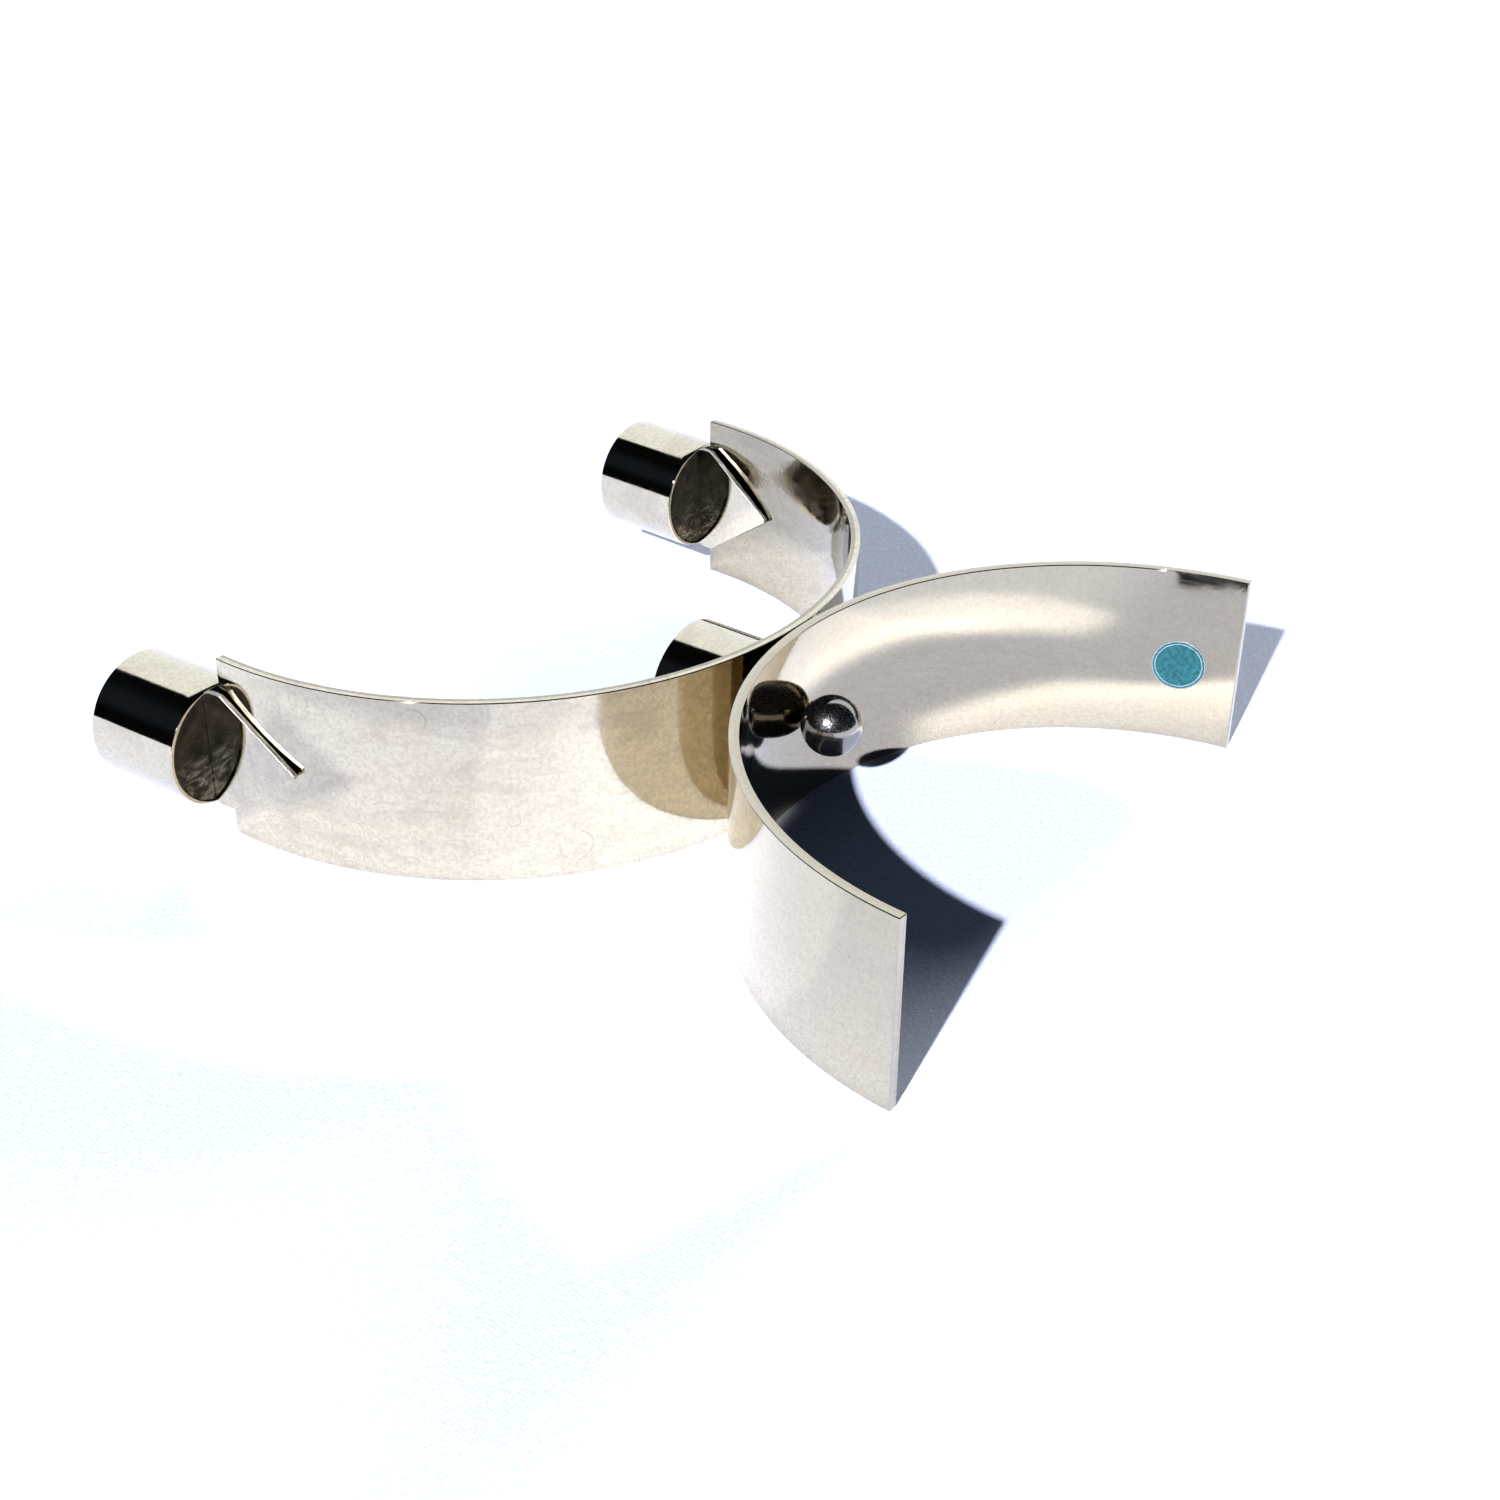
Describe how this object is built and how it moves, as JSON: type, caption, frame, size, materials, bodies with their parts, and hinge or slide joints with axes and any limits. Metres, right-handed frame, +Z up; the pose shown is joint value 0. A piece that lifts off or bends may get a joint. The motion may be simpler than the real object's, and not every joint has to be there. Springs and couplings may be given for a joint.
{
  "type": "magnetic desk sculpture",
  "caption": "Polished steel half-ring bands standing on edge back to back, with short magnetic cups and a steel ball that cling to them; the bands roll and the cups and ball pull off.",
  "frame": {"origin": "foot of the left band, in the middle of its thickness, on the line where the two bands meet", "axes": "+X from the left band towards the right band, +Y from the near ends to the far ends, +Z up; the desk is z = 0"},
  "size_m": [0.2237, 0.2289, 0.05],
  "materials": {
    "band_steel": "mirror-polished nickel-bright steel strip with fine scratches and a light warm tarnish",
    "cup_steel": "mirror-polished steel tube and plate with fine scratches",
    "plate_steel": "smooth dark brown steel, lightly scratched and pitted",
    "ferrite": "matt dark sintered ferrite",
    "ball_steel": "mirror-polished bearing ball",
    "sticker": "satin teal paper label with a worn rim"
  },
  "bodies": {
    "left_band": {"left_band": "band_steel"},
    "near_cup": {"near_cup_tube": "cup_steel", "near_cup_end_plate": "plate_steel", "near_cup_tongue": "cup_steel", "near_cup_magnet": "ferrite", "near_cup_floor": "plate_steel"},
    "far_cup": {"far_cup_tube": "cup_steel", "far_cup_end_plate": "plate_steel", "far_cup_tongue": "cup_steel", "far_cup_magnet": "ferrite", "far_cup_floor": "plate_steel"},
    "centre_cup": {"centre_cup_tube": "cup_steel", "centre_cup_end_plate": "plate_steel", "centre_cup_magnet": "ferrite", "centre_cup_floor": "plate_steel"},
    "right_band": {"right_band": "band_steel", "round_sticker": "sticker"},
    "ball": {"steel_ball": "ball_steel"}
  },
  "joints": [
    {"name": "centre_cup_travel", "type": "hinge", "parent": "left_band", "child": "centre_cup", "pos_m": [-0.0972, 0, 0.025], "axis": [0, 0, 1], "range_deg": [-50, 50]},
    {"name": "right_band_roll", "type": "hinge", "parent": "centre_cup", "child": "right_band", "pos_m": [0.095, 0, 0.025], "axis": [0, 0, 1], "range_deg": [-53, 53]},
    {"name": "ball_pull_off", "type": "slide", "parent": "centre_cup", "child": "ball", "axis": [1, 0, 0], "range_m": [0, 0.03]},
    {"name": "near_cup_pull_off", "type": "slide", "parent": "left_band", "child": "near_cup", "axis": [-0.9978, -0.0663, 0], "range_m": [0, 0.03]},
    {"name": "far_cup_pull_off", "type": "slide", "parent": "left_band", "child": "far_cup", "axis": [-0.9936, 0.1132, 0], "range_m": [0, 0.03]}
  ],
  "couplings": [
    {"joint": "right_band_roll", "follows": "centre_cup_travel", "ratio": 1.0546}
  ]
}
